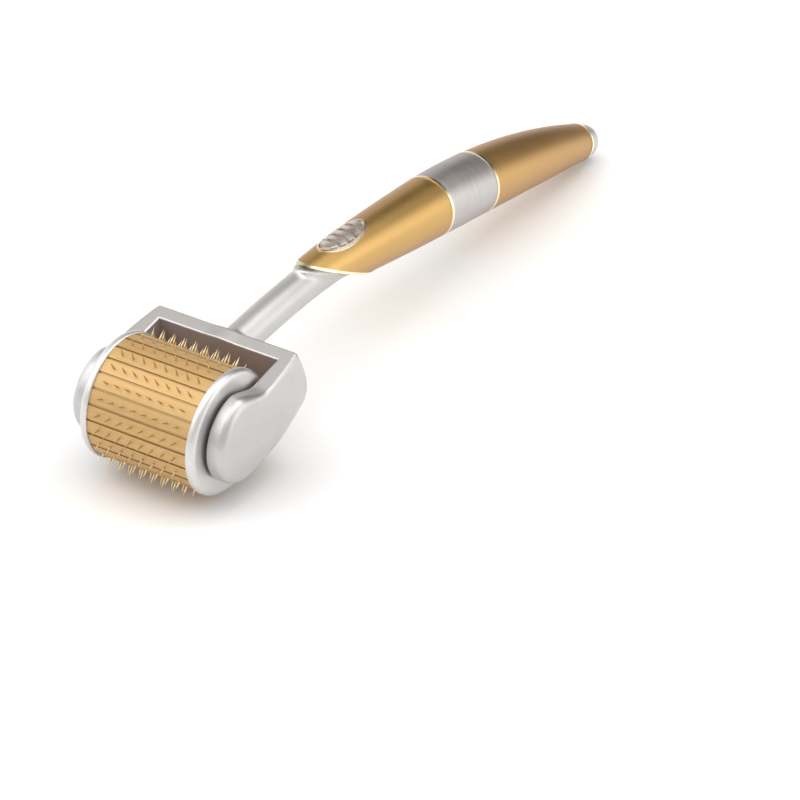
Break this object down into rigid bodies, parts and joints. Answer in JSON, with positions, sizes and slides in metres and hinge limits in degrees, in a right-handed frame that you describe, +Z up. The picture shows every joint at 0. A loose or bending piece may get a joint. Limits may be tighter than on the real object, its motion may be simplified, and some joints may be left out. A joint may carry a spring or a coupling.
{
  "type": "derma roller",
  "caption": "Hand-held derma roller: a drum of fine needles spinning in a U-shaped yoke, on a slim curved handle with slanted nose, oval badge, bright rings and a rounded tail.",
  "frame": {"origin": "middle of the roller's footprint, on the table that its needle tips and tail rest on", "axes": "+X along the drum's axle, +Y from the drum back towards the tail, +Z up from the table"},
  "size_m": [0.0342, 0.1614, 0.0275],
  "materials": {
    "satin_silver": "satin silver paint",
    "satin_gold": "satin gold anodised paint",
    "polished_gold": "polished gold",
    "brushed_silver": "fine brushed silver",
    "badge_chrome": "bright chrome",
    "drum_gold": "metallised peach-gold plastic",
    "needle_gold": "gold-plated needle wire",
    "steel": "ground steel",
    "bush_plastic": "white acetal",
    "inner_plastic": "moulded plastic, unseen"
  },
  "bodies": {
    "handle": {"yoke": "satin_silver", "left_bush": "bush_plastic", "right_bush": "bush_plastic", "nose_trim": "polished_gold", "front_shell": "satin_gold", "front_ring": "polished_gold", "centre_band": "brushed_silver", "rear_ring": "polished_gold", "rear_shell": "satin_gold", "tail_ring": "polished_gold", "end_cap": "satin_silver", "joiner": "inner_plastic", "badge_bezel": "badge_chrome", "badge_plate": "badge_chrome", "badge_ribs": "badge_chrome", "tang_dowel": "steel"},
    "drum": {"barrel": "drum_gold", "needles": "needle_gold", "needle_core": "inner_plastic", "axle": "steel", "left_flange": "satin_silver", "right_flange": "satin_silver"}
  },
  "joints": [
    {"name": "drum_spin", "type": "hinge", "parent": "handle", "child": "drum", "pos_m": [0, -0.06701, 0.01374], "axis": [1, 0, 0], "continuous": true}
  ]
}
